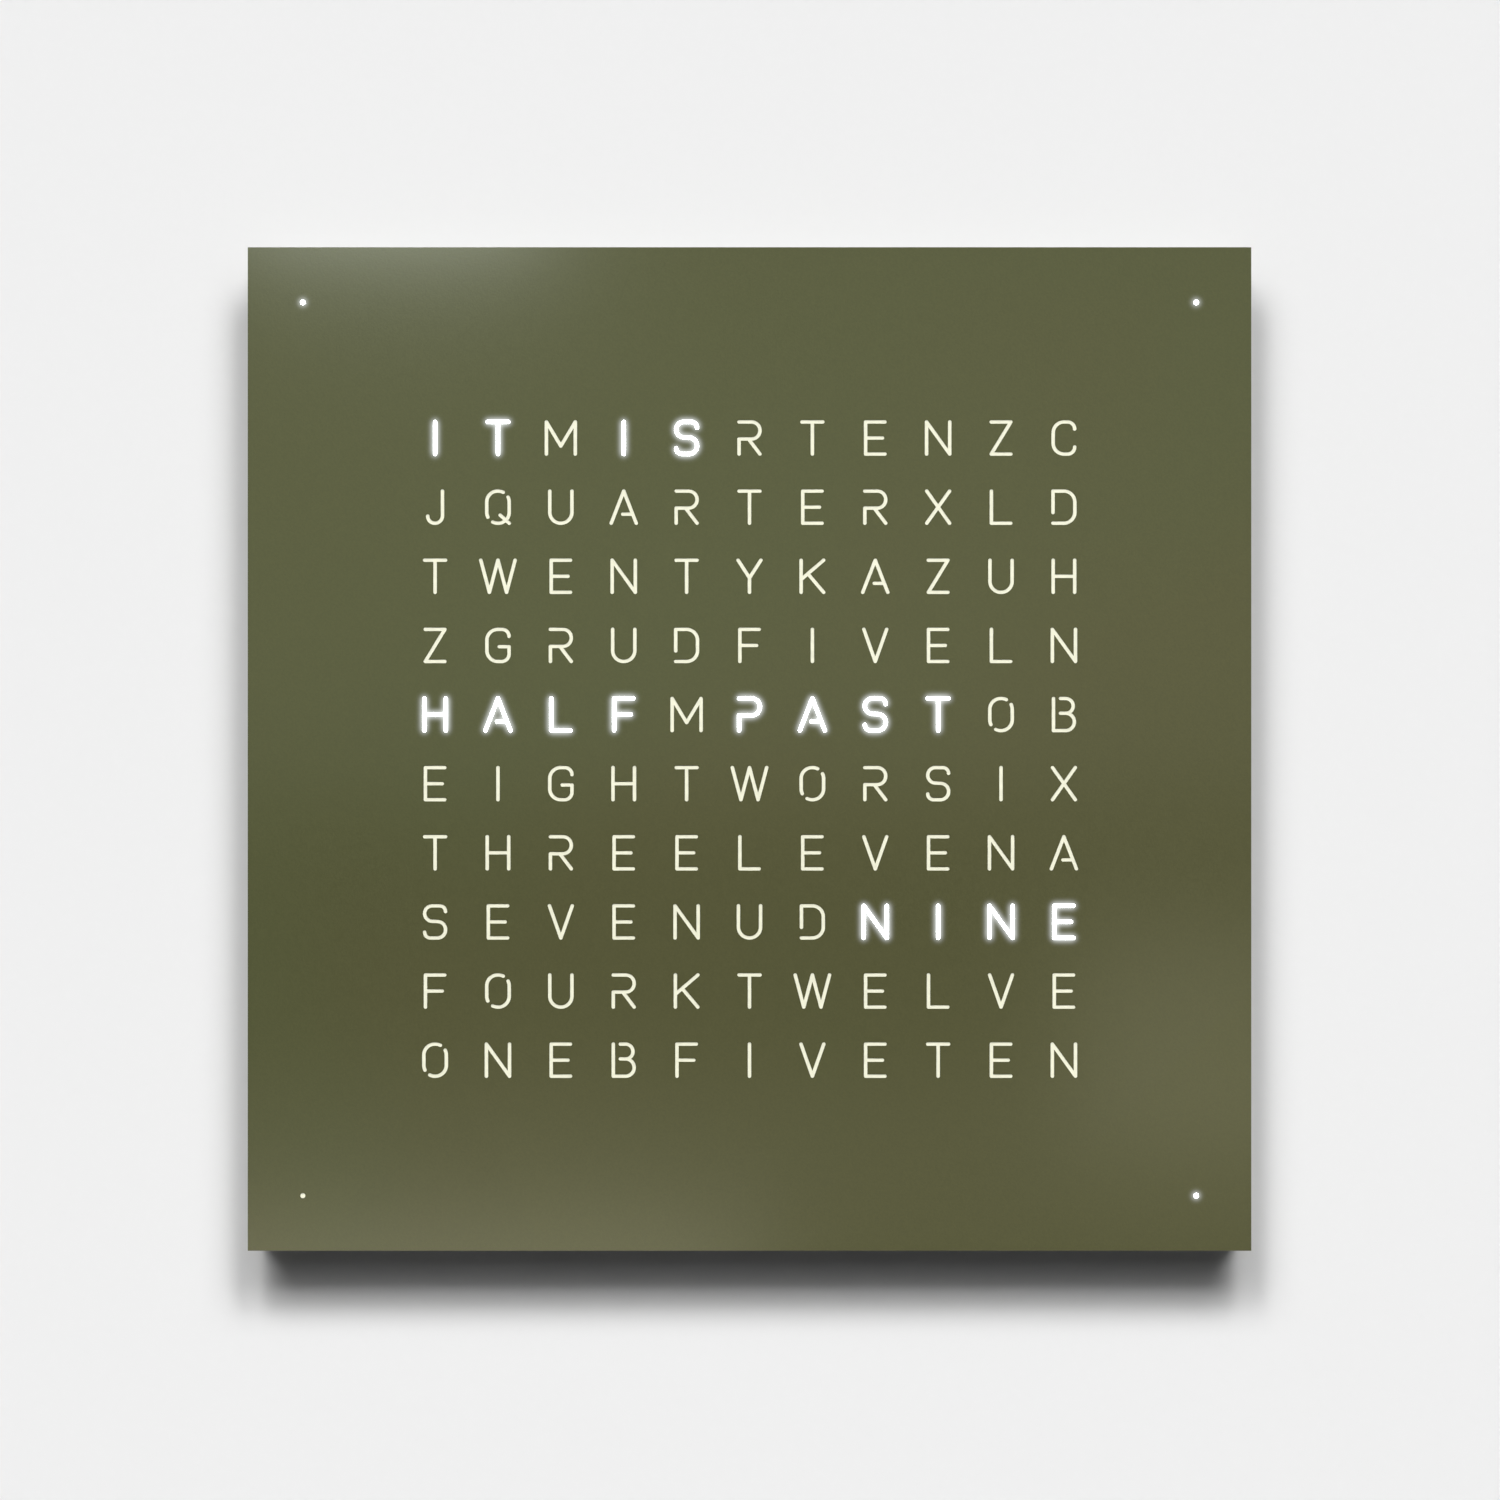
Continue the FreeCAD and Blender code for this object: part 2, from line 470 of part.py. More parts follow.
def housing_frame():
    """Square wooden case ring, with its rebate, pilot holes, magnet seats, button bay and inlet."""
    case = body("housing_frame")
    ring = [("rectangle", HOUSING_SIDE, HOUSING_SIDE), ("rectangle", OPENING_SIDE, OPENING_SIDE)]
    pad = grow(case, "ring", ring, ("0", "0"), "wall_gap", "housing_depth")
    corners = [
        "Edge%d" % (number + 1) for number, edge in enumerate(pad.Shape.Edges)
        if edge.BoundBox.YLength > value("housing_depth") - 0.1
        and abs(edge.BoundBox.XMin) > value(HOUSING_HALF) - 0.1]
    fillet = case.newObject("PartDesign::Fillet", "corner_rounds")
    fillet.Base = (pad, corners)
    fillet.setExpression("Radius", bound("housing_corner"))
    doc.recompute()
    rebate = [("rectangle", HOUSING_SIDE + " - 2 * back_lip", HOUSING_SIDE + " - 2 * back_lip")]
    grow(case, "back_rebate", rebate, ("0", "0"), "wall_gap", "back_thick", cut=True)
    pilot = [("circle", "back_screw_radius + thread_play")]
    back_screw_rows(case, pilot, BACK_FRONT, BACK_REACH + " + screw_spare", "pilot_hole", cut=True)
    stud = grow(case, "stud_hole", [("circle", "stud_radius + hole_play")],
                ("-" + WALL_MIDDLE, "-" + WALL_MIDDLE), HOUSING_FRONT + " - stud_reach - screw_spare",
                "stud_reach + screw_spare", cut=True)
    repeat(case, [stud], (2, "2 * " + WALL_MIDDLE), (2, "2 * " + WALL_MIDDLE))
    seat = [("circle", "magnet_radius + hole_play")]
    magnet_rows(case, seat, HOUSING_FRONT + " - magnet_thick - magnet_sink", "magnet_thick + magnet_sink",
                "magnet_seat", cut=True)
    middle = "-" + CASE_MIDDLE
    grow(case, "button_bay", [("rectangle", "bay_wide", "bay_deep")], ("button_across", middle),
         BAY_FLOOR, "housing_wall", UPWARD, cut=True)
    first = (FIRST_BUTTON, middle)
    hole = grow(case, "button_hole", [("circle", "button_radius + hole_play")], first,
                "-" + HOUSING_HALF, "button_skin", UPWARD, cut=True)
    repeat(case, [hole], (len(BUTTONS), "button_pitch"))
    pilots = grow(case, "key_pilot", [("circle", "key_screw_radius + thread_play")],
                  ("button_across - " + KEY_SCREW, middle),
                  "-%s - key_screw_reach - screw_spare" % OPENING_HALF,
                  "key_screw_reach + screw_spare", UPWARD, cut=True)
    repeat(case, [pilots], (2, "2 * " + KEY_SCREW))
    grow(case, "inlet_recess", [("circle", "recess_radius")], ("-jack_across", middle),
         "-" + HOUSING_HALF, "recess_deep", UPWARD, cut=True)
    grow(case, "inlet_bore", [("circle", "jack_radius + hole_play")], ("-jack_across", middle),
         "-" + HOUSING_HALF, "housing_wall", UPWARD, cut=True)


TONGUE_SLOT = "(tongue_tall + bracket_thick + slot_play)"


def back_plate():
    """Steel back with its hanging slots, screw windows and screw holes."""
    plate = body("back_plate")
    grow(plate, "sheet", [("rectangle", BACK_SIDE, BACK_SIDE)], ("0", "0"), "wall_gap", "back_thick")
    back_screw_rows(plate, [("circle", "back_screw_radius + screw_play")], "wall_gap", "back_thick",
                    "screw_hole", cut=True)
    slot = grow(plate, "hanging_slot", [("rectangle", "tongue_wide + 2 * slot_play", TONGUE_SLOT)],
                ("-tongue_across", "tongue_up - %s / 2" % TONGUE_SLOT), "wall_gap", "back_thick", cut=True)
    repeat(plate, [slot], (2, "2 * tongue_across"))
    window = [("rectangle", "2 * window_radius", "tongue_tall + 2 * window_radius + window_spare")]
    relief = grow(plate, "head_window", window, ("-wall_hole_pitch / 2", "-wall_hole_down - tongue_tall / 2"),
                  "wall_gap", "back_thick", cut=True)
    repeat(plate, [relief], (2, "wall_hole_pitch"))


def casing():
    housing_frame()
    back_plate()
    screws = body("back_screws", many=True)
    back_screw_rows(screws, [("circle", "back_screw_radius")], "wall_gap - back_head_thick",
                    "back_head_thick + back_thick + " + BACK_REACH, "shank")
    back_screw_rows(screws, [("circle", "back_head_radius")], "wall_gap - back_head_thick",
                    "back_head_thick", "head")
    back_screw_rows(screws, [("hexagon", "drive_flats")], "wall_gap - back_head_thick", "drive_deep",
                    "socket", cut=True)
    foot = "-(face_side / 2 - pad_inset)"
    pitch = "2 * (face_side / 2 - pad_inset)"
    disc("wall_pads", "pad_radius", "wall_gap", (foot, foot), "0", across=(2, pitch), along=(2, pitch))
    magnets = body("cover_magnets", many=True)
    magnet_rows(magnets, [("circle", "magnet_radius")], HOUSING_FRONT + " - magnet_thick - magnet_sink",
                "magnet_thick", "magnet")


FIRST_COLUMN = "(field_inset_across - face_side / 2)"
FIRST_ROW = "(field_inset_up - face_side / 2)"
FIRST_POST = "(post_end_inset - %s)" % BOARD_TALL
GRID_DEEP = "(housing_depth - diffuser_thick - grid_gap - back_thick - board_space - board_thick)"


def led_board(label, middle):
    board = block(label, BOARD_WIDE, BOARD_TALL + " - board_split / 2", "board_thick", ("0", middle),
                  BOARD_BACK)
    hole = grow(board, label + "_hole", [("circle", "board_screw_radius + screw_play")],
                ("-" + POST_ACROSS, "%s + %s * %d" % (FIRST_POST, POST_PITCH, 2 if "upper" in label else 0)),
                BOARD_BACK, "board_thick", cut=True)
    repeat(board, [hole], (2, "2 * " + POST_ACROSS), ("post_rows / 2", POST_PITCH))


def light_grid():
    """Egg-crate wall around every letter's light, so that no light reaches a neighbour."""
    grid = body("light_grid")
    outer = [("rectangle", "columns * %s + grid_web" % PITCH_ACROSS, "rows * %s + grid_web" % PITCH_DOWN)]
    grow(grid, "crate", outer, ("0", "0"), BOARD_FRONT, GRID_DEEP)
    cell = grow(grid, "cell", [("rectangle", PITCH_ACROSS + " - grid_web", PITCH_DOWN + " - grid_web")],
                (FIRST_COLUMN, FIRST_ROW), BOARD_FRONT, GRID_DEEP, cut=True)
    repeat(grid, [cell], ("columns", PITCH_ACROSS), ("rows", PITCH_DOWN))


def screw_group(label, head, head_thick, shank, at, start, reach, across, along=None, plane=FORWARD):
    """Equal pan-head screws whose heads stand on the level start and point back by reach."""
    screws = body(label, many=True)
    thread = grow(screws, label + "_shank", [("circle", shank)], at, "%s - %s" % (start, reach),
                  "%s + %s" % (reach, head_thick), plane)
    repeat(screws, [thread], across, along)
    cap = grow(screws, label + "_head", [("circle", head)], at, start, head_thick, plane)
    repeat(screws, [cap], across, along)
    drive = grow(screws, label + "_drive", [("hexagon", "drive_flats")], at,
                 "%s + %s - drive_deep" % (start, head_thick), "drive_deep", plane, cut=True)
    repeat(screws, [drive], across, along)


def light_matrix():
    led_board("led_board_upper", "(%s + board_split / 2) / 2" % BOARD_TALL)
    led_board("led_board_lower", "-(%s + board_split / 2) / 2" % BOARD_TALL)
    block("matrix_leds", "led_side", "led_side", "led_thick", (FIRST_COLUMN, FIRST_ROW), BOARD_FRONT,
          across=("columns", PITCH_ACROSS), along=("rows", PITCH_DOWN))
    light_grid()
    posts = (("2", "2 * " + POST_ACROSS), ("post_rows", POST_PITCH))
    start = ("-" + POST_ACROSS, FIRST_POST)
    disc("board_standoffs", "post_radius", "board_space", start, BACK_FRONT, across=posts[0], along=posts[1],
         bore="board_screw_radius + thread_play")
    screw_group("board_screws", "board_head_radius", "board_head_thick", "board_screw_radius", start,
                BOARD_FRONT, "(board_thick + board_screw_bite)", *posts)
    block("board_link_headers", "link_wide", "link_tall", "link_thick", ("-link_across", "-link_up"),
          BOARD_BACK + " - link_thick", across=("2", "2 * link_across"), along=("2", "2 * link_up"))
    block("board_link_ribbons", "link_wide - ribbon_inset", "2 * link_up + link_tall", "ribbon_thick",
          ("-link_across", "0"), BOARD_BACK + " - link_thick - ribbon_thick",
          across=("2", "2 * link_across"))
    block("light_sensor", "sensor_side", "sensor_side", "sensor_thick",
          (FIRST_COLUMN + " + sensor_offset", PITCH_DOWN + " * (rows - 3) / 2"), BOARD_FRONT)


def corner_lights():
    board = ("-" + CORNER_BOARD_ACROSS, "-" + CORNER_BOARD_UP)
    boards = {"across": (2, "2 * " + CORNER_BOARD_ACROSS), "along": (2, "2 * " + CORNER_BOARD_UP)}
    block("corner_board_pads", "corner_pad_side", "corner_pad_side", "board_space", board, BACK_FRONT,
          **boards)
    block("corner_led_boards", "corner_board_wide", "corner_board_tall", "board_thick", board, BOARD_BACK,
          **boards)
    dot = ("-" + DOT_ACROSS, "-" + DOT_ACROSS)
    pair = (2, "2 * " + DOT_ACROSS)
    block("corner_leds", "led_side", "led_side", "led_thick", dot, BOARD_FRONT, across=pair, along=pair)
    disc("corner_light_tubes", "tube_radius", GRID_DEEP, dot, BOARD_FRONT, across=pair, along=pair,
         bore="tube_bore")


def controller():
    middle = "-" + CONTROL_DOWN
    board = block("controller_board", "control_wide", "control_tall", "board_thick", ("0", middle),
                  BOARD_BACK)
    post = "(control_wide / 2 - control_post_inset)"
    drop = "(control_tall / 2 - control_post_inset)"
    start = ("-" + post, middle + " - " + drop)
    rows = ((2, "2 * " + post), (2, "2 * " + drop))
    hole = grow(board, "control_hole", [("circle", "board_screw_radius + screw_play")], start,
                BOARD_BACK, "board_thick", cut=True)
    repeat(board, [hole], *rows)
    disc("controller_standoffs", "post_radius", "board_space", start, BACK_FRONT, across=rows[0],
         along=rows[1], bore="board_screw_radius + thread_play")
    screw_group("controller_screws", "board_head_radius", "board_head_thick", "board_screw_radius", start,
                BOARD_FRONT, "(board_thick + board_screw_bite)", *rows)
    block("microcontroller", "mcu_side", "mcu_side", "chip_thick", ("mcu_inset - control_wide / 2", middle),
          BOARD_FRONT)
    highest = CONTROL_TOP + " - header_tall - driver_gap - driver_tall / 2"
    block("driver_chips", "driver_wide", "driver_tall", "chip_thick",
          ("driver_across", highest + " - 2 * driver_pitch"), BOARD_FRONT, along=(3, "driver_pitch"))
    can = ("can_inset - control_wide / 2", middle + " - can_pitch / 2")
    disc("capacitors", "can_radius", "can_tall", can, BOARD_FRONT, along=(2, "can_pitch"))
    block("power_coil", "coil_side", "coil_side", "coil_thick", ("coil_inset - control_wide / 2", middle),
          BOARD_FRONT)
    cell = ("control_wide / 2 - cell_inset", middle)
    holder = block("coin_cell_holder", "holder_side", "holder_side", "holder_thick", cell, BOARD_FRONT)
    grow(holder, "cell_well", [("circle", "cell_radius + hole_play")], cell, BOARD_FRONT + " + holder_floor",
         "holder_thick", cut=True)
    disc("coin_cell", "cell_radius", "cell_thick", cell, BOARD_FRONT + " + holder_floor")
    low = CONTROL_TOP + " - header_tall / 2"
    high = "-%s + header_tall / 2 + header_edge" % BOARD_TALL
    block("ribbon_headers", "header_wide", "header_tall", "header_thick", ("0", low), BOARD_FRONT,
          along=(2, "(%s) - (%s)" % (high, low)))
    block("ribbon_cable", "ribbon_wide", "(%s) - (%s) + header_tall" % (high, low), "ribbon_thick",
          ("0", "((%s) + (%s)) / 2" % (high, low)), BOARD_FRONT + " + header_thick")


def antenna():
    """Ferrite rod on the left, its winding in the middle and a clip near each end."""
    left = "-" + ROD_ACROSS
    centre = (left, "-" + ROD_DEPTH)
    disc("antenna_rod", "rod_radius", "rod_long", centre, "-rod_long / 2", UPWARD)
    disc("antenna_coil", "coil_radius", "coil_long", centre, "-coil_long / 2", UPWARD, bore="rod_radius")
    clips = block("antenna_clips", "clip_wide", "clip_long", ROD_DEPTH + " - " + BACK_FRONT,
                  (left, "-rod_long / 2 + clip_long"), BACK_FRONT, along=(2, "rod_long - 2 * clip_long"))
    grow(clips, "rod_cradle", [("circle", "rod_radius + hole_play")], centre, "-rod_long / 2", "rod_long",
         UPWARD, cut=True)


def wire_run(points, radius, bend):
    """A round wire along straight runs and tangent arcs, at one depth."""
    path = Part.Wire(rounded(points, bend))
    start = Vector(*points[0][:3])
    ahead = Vector(*points[1][:3]) - start
    section = Part.Wire(Part.makeCircle(radius, start, ahead))
    return path.makePipeShell([section], True, False)


def wiring():
    radius = value("wire_radius")
    bend = value("wire_bend")
    depth = value(BOARD_FRONT) + radius
    edge = value("control_wide / 2 - wire_land")
    step = value("wire_step")
    top = value(CONTROL_TOP)
    lane = value(WIRE_LANE)
    dot = value(DOT_ACROSS)
    pad = value(CORNER_BOARD_ACROSS + " - corner_board_wide / 2 + wire_land")
    off = value("tube_radius - wire_air") - radius
    runs = []
    for side in (-1, 1):
        high = [(edge, top - step), (lane, top - step), (lane, dot - off), (pad, dot - off)]
        outer = lane + step
        low = [(edge, top - 2 * step), (outer, top - 2 * step), (outer, off - dot), (pad, off - dot)]
        for route in (high, low):
            runs.append(wire_run([(side * x, -depth, z) for x, z in route], radius, bend))
    loose("corner_wires", Part.makeCompound(runs))
    block("wire_clips", "wire_clip_side", "wire_clip_side", BOARD_FRONT + " - " + BACK_FRONT,
          ("-" + WIRE_LANE, "-wire_clip_pitch"), BACK_FRONT, across=(2, "2 * " + WIRE_LANE),
          along=(3, "wire_clip_pitch"))
    thick = value("power_wire_radius")
    jack = -value("jack_across")
    tail = -value(HOUSING_HALF) + value("recess_deep + jack_long")
    down = -value(CONTROL_DOWN)
    front = value(BOARD_FRONT) + thick
    route = [(jack, -front, tail), (jack, -front, down - step), (-edge, -front, down - step)]
    loose("power_wire", wire_run(route, thick, bend + thick))
    back = value(BACK_FRONT) + radius
    coil = value(ROD_ACROSS + " - rod_radius / 2")
    beside = value(ROD_ACROSS + " - clip_wide / 2") - radius - value("wire_air")
    foot = value("-coil_long / 2") - radius - value("wire_air")
    header = value("control_wide / 2 - plug_inset")
    route = [(-coil, -back, foot), (-beside, -back, foot), (-beside, -back, down), (-header, -back, down)]
    loose("antenna_lead", wire_run(route, radius, bend))
    block("antenna_header", "plug_wide", "plug_tall", "board_space - plug_air",
          ("-control_wide / 2 + plug_inset + plug_wide / 2", "-" + CONTROL_DOWN), BACK_FRONT + " + plug_air")


def power_inlet():
    centre = ("-jack_across", "-" + CASE_MIDDLE)
    mouth = "(-%s + recess_deep)" % HOUSING_HALF
    jack = body("dc_socket")
    grow(jack, "barrel", [("circle", "jack_radius")], centre, mouth, "jack_long", UPWARD)
    grow(jack, "plug_bore", [("circle", "jack_bore")], centre, mouth, "jack_bore_deep", UPWARD, cut=True)
    grow(jack, "pin_seat", [("circle", "jack_pin")], centre, mouth, "jack_bore_deep + jack_pin_root", UPWARD,
         cut=True)
    disc("dc_socket_pin", "jack_pin", "jack_pin_long + jack_pin_root", centre,
         mouth + " + jack_bore_deep - jack_pin_long", UPWARD)
    nut = body("dc_socket_nut")
    grow(nut, "hex", [("hexagon", "nut_across_flats"), ("circle", "jack_radius + thread_play")], centre,
         "-" + OPENING_HALF, "nut_thick", UPWARD)


BOARD_LEVEL = "-" + OPENING_HALF


def buttons():
    """Push buttons in the underside, each pressing a key on the small board above it."""
    middle = "-" + CASE_MIDDLE
    for place, name in enumerate(BUTTONS):
        centre = (FIRST_BUTTON + " + button_pitch * %d" % place, middle)
        button = body("button_" + name)
        grow(button, name + "_cap", [("circle", "button_radius")], centre,
             "-%s - button_out" % HOUSING_HALF, "button_out + button_skin", UPWARD)
        grow(button, name + "_flange", [("circle", "button_flange")], centre, BAY_FLOOR,
             "flange_thick", UPWARD)
        grow(button, name + "_stem", [("circle", "stem_radius")], centre, BAY_FLOOR,
             "housing_wall - button_skin - key_tall + key_bore_deep - button_travel - stem_spare", UPWARD)
    board = block("button_board", "key_board_wide", "key_board_deep", "board_thick",
                  ("button_across", middle), BOARD_LEVEL, UPWARD)
    first = ("button_across - " + KEY_SCREW, middle)
    hole = grow(board, "key_board_hole", [("circle", "key_screw_radius + screw_play")], first, BOARD_LEVEL,
                "board_thick", UPWARD, cut=True)
    pair = (2, "2 * " + KEY_SCREW)
    repeat(board, [hole], pair)
    screw_group("button_board_screws", "board_head_radius", "board_head_thick", "key_screw_radius", first,
                "(board_thick - %s)" % OPENING_HALF, "(board_thick + key_screw_reach)", pair, plane=UPWARD)
    keys = body("tact_switches", many=True)
    place = (FIRST_BUTTON, middle)
    row = (len(BUTTONS), "button_pitch")
    case = grow(keys, "key_case", [("rectangle", "key_side", "key_side")], place,
                BOARD_LEVEL + " - key_tall", "key_tall", UPWARD)
    repeat(keys, [case], row)
    well = grow(keys, "key_well", [("circle", "stem_bore")], place, BOARD_LEVEL + " - key_tall",
                "key_bore_deep", UPWARD, cut=True)
    repeat(keys, [well], row)


def wall_bracket():
    """Folded steel plate screwed to the wall, with two tongues that the back plate hangs on."""
    bracket = body("wall_bracket")
    grow(bracket, "flat", [("rectangle", "bracket_wide", "bracket_drop + tongue_up")],
         ("0", "(tongue_up - bracket_drop) / 2"), "0", "bracket_thick")
    front = "(%s + tongue_gap + bracket_thick)" % BACK_FRONT
    shelf = grow(bracket, "shelf", [("rectangle", "tongue_wide", "bracket_thick")],
                 ("-tongue_across", "tongue_up - bracket_thick / 2"), "0", front)
    repeat(bracket, [shelf], (2, "2 * tongue_across"))
    tongue = grow(bracket, "tongue", [("rectangle", "tongue_wide", "tongue_tall + bracket_thick")],
                  ("-tongue_across", "tongue_up + (tongue_tall - bracket_thick) / 2"),
                  "%s - bracket_thick" % front, "bracket_thick")
    repeat(bracket, [tongue], (2, "2 * tongue_across"))
    hole = grow(bracket, "wall_hole", [("circle", "wall_hole_radius")],
                ("-wall_hole_pitch / 2", "-wall_hole_down"), "0", "bracket_thick", cut=True)
    repeat(bracket, [hole], (2, "wall_hole_pitch"))


front_cover()
casing()
light_matrix()
corner_lights()
controller()
antenna()
wiring()
power_inlet()
buttons()
wall_bracket()
doc.recompute()

for item in doc.Objects:
    if "Invalid" in item.State or "Error" in item.State:
        raise RuntimeError("%s: %s" % (item.Label, item.State))
for part in parts:
    if part.Shape.isNull() or not part.Shape.isValid() or not part.Shape.Solids:
        raise RuntimeError(part.Label + " has no valid shape")

os.makedirs("parts", exist_ok=True)
for part in parts:
    part.Shape.exportStep("parts/%s.step" % part.Label)
print(len(parts), "sub-parts written")
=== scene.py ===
import bmesh
import bpy
import json
import math
from mathutils import Matrix, Vector


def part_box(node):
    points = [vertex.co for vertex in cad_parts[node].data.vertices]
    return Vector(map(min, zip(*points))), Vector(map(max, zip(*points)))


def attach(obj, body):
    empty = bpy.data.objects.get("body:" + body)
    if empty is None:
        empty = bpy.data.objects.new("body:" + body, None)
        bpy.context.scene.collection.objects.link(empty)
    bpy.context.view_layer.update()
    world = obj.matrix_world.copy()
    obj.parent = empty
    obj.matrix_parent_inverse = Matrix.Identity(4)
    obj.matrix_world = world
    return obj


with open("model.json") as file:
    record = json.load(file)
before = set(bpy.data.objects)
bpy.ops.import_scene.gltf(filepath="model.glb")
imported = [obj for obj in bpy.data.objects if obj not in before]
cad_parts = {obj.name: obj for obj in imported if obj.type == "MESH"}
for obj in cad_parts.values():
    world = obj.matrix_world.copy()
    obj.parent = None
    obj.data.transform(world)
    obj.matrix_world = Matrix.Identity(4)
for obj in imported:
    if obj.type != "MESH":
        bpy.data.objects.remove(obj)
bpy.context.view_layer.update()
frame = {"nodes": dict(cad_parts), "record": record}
nodes = frame["nodes"]
print("frame loaded:", len(nodes), "nodes")

mm = 0.001
faceLow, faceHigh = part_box("front_plate")
faceSide = faceHigh.x - faceLow.x
faceFront = faceLow.y          # the face looks along -Y
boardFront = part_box("led_board_upper")[0].y

# The lights behind the letters, each a square of this side
grid = {"columns": 11, "rows": 10, "light": 5 * mm}
ledLow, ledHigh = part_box("matrix_leds")
pitchAcross = (ledHigh.x - ledLow.x - grid["light"]) / (grid["columns"] - 1)
pitchUp = (ledHigh.z - ledLow.z - grid["light"]) / (grid["rows"] - 1)
firstLight = ledLow + Vector((grid["light"] / 2, 0, grid["light"] / 2))


# A socket that adds, subtracts and so on as Math nodes
class Wire:
    def __init__(self, tree, socket):
        self.tree = tree
        self.socket = socket

    def maths(self, operation, *values):
        return self.tree.add("ShaderNodeMath", {"operation": operation}, dict(enumerate(values)))

    def __add__(self, other):
        return self.maths("ADD", self, other)

    def __sub__(self, other):
        return self.maths("SUBTRACT", self, other)

    def __rsub__(self, other):
        return self.maths("SUBTRACT", other, self)

    def __mul__(self, other):
        return self.maths("MULTIPLY", self, other)

    def __truediv__(self, other):
        return self.maths("DIVIDE", self, other)

    def __pow__(self, other):
        return self.maths("POWER", self, other)

    def __lt__(self, other):
        return self.maths("LESS_THAN", self, other)

    def __gt__(self, other):
        return self.maths("GREATER_THAN", self, other)

    __radd__ = __add__
    __rmul__ = __mul__

    def larger(self, other):
        return self.maths("MAXIMUM", self, other)

    def near(self, pitch):          # distance from the nearest of a row of places
        return self.maths("ABSOLUTE", self.maths("PINGPONG", self, pitch / 2))


# Any node tree: add makes a node, join links or sets its sockets
class Tree:
    def __init__(self, owner):
        self.nodes = owner.nodes
        self.links = owner.links

    def add(self, kind, settings=None, sockets=None, output=0):
        node = self.nodes.new(kind)
        for name, value in (settings or {}).items():
            if name == "stops":
                for element, (place, colour) in zip(node.color_ramp.elements, value):
                    element.position = place
                    element.color = colour
            else:
                setattr(node, name, value)
        self.join(node, sockets or {})
        return Wire(self, node.outputs[output]) if node.outputs else None

    def join(self, node, sockets):
        for name, value in sockets.items():
            if isinstance(value, Wire):
                self.links.new(value.socket, node.inputs[name])
            else:
                node.inputs[name].default_value = value


class Finish(Tree):
    def __init__(self, name, **fixed):
        self.material = bpy.data.materials.new(name)
        self.material.use_nodes = True
        super().__init__(self.material.node_tree)
        self.shader = self.nodes["Principled BSDF"]
        self.feed(**fixed)
        self.place = self.add("ShaderNodeTexCoord", output="Object")
        split = self.add("ShaderNodeSeparateXYZ", None, {0: self.place}).socket.node
        self.x, self.y, self.z = (Wire(self, split.outputs[axis]) for axis in range(3))

    def noise(self, size, detail=3, stretch=None):
        place = self.place
        if stretch:
            place = self.add("ShaderNodeMapping", None, {"Vector": place, "Scale": stretch})
        sockets = {"Vector": place, "Scale": 1 / size, "Detail": detail}
        return self.add("ShaderNodeTexNoise", None, sockets)

    def between(self, factor, first, second, low=0.3, high=0.7):
        return self.add("ShaderNodeValToRGB", {"stops": ((low, first), (high, second))}, {0: factor})

    def blend(self, factor, first, second, way="MIX"):          # 6, 7 and 2 are its colour sockets
        settings = {"data_type": "RGBA", "blend_type": way}
        return self.add("ShaderNodeMix", settings, {0: factor, 6: first, 7: second}, output=2)

    def feed(self, **wires):
        self.join(self.shader, {name.replace("_", " "): wire for name, wire in wires.items()})
        return self

    def bump(self, height, depth):
        return self.feed(Normal=self.add("ShaderNodeBump", None, {"Height": height, "Distance": depth}))


def rgb(red, green, blue):
    return (red, green, blue, 1)


def tint(colour, share):
    return tuple(min(channel * share, 1) for channel in colour[:3]) + (1,)


# Powder coat: a fine speckle, and a slow random drift to a warmer tone; on the face the tone also leans
# warmer to the right and below, a painted warm light tint
faceCoat = {
    "colour": rgb(0.0615, 0.0668, 0.0203),
    "warm": rgb(0.0642, 0.0645, 0.0197),
    "gloss": 0.35,
    "rough": 0.42,
    "grain": 0.9 * mm,
    "relief": 0.03 * mm,
    "drift": 160 * mm,
    "paintedLightLean": {"right": 0.35, "below": 0.65},
}
backCoat = {
    "colour": rgb(0.028, 0.028, 0.029),
    "warm": rgb(0.033, 0.033, 0.033),
    "gloss": 0.5,
    "rough": 0.55,
    "grain": 0.8 * mm,
    "relief": 0.06 * mm,
    "drift": 120 * mm,
    "paintedLightLean": None,
}


def powderCoat(name, coat):
    finish = Finish(name, Specular_IOR_Level=coat["gloss"])
    speckle = finish.noise(coat["grain"], detail=2)
    drift = finish.noise(coat["drift"], detail=1)
    # painted light: on the face the tone is pushed warmer towards the right and the bottom, as if warmer
    # light fell there
    paintedLightLean = coat["paintedLightLean"]
    if paintedLightLean:
        drift = drift + (finish.x * paintedLightLean["right"] - finish.z * paintedLightLean["below"]) / faceSide
    warmth = finish.between(drift, rgb(0, 0, 0), rgb(1, 1, 1), 0.35, 0.65)
    base = finish.blend(warmth, coat["colour"], coat["warm"])
    fleck = finish.between(speckle, rgb(0.9, 0.9, 0.9), rgb(1, 1, 1))
    finish.feed(Base_Color=finish.blend(1.0, base, fleck, "MULTIPLY"))
    finish.feed(Roughness=coat["rough"] + (speckle - 0.5) * 0.16)
    return finish.bump(speckle, coat["relief"])


def resin(name, colour, cloudy=0.93, glow=0):
    finish = Finish(name, Roughness=0.45, Emission_Strength=glow)
    tone = finish.between(finish.noise(3 * mm, detail=2), tint(colour, cloudy), colour)
    finish.feed(Base_Color=tone)
    if glow:
        finish.feed(Emission_Color=tone)
    return finish.bump(finish.noise(0.8 * mm), 0.01 * mm)


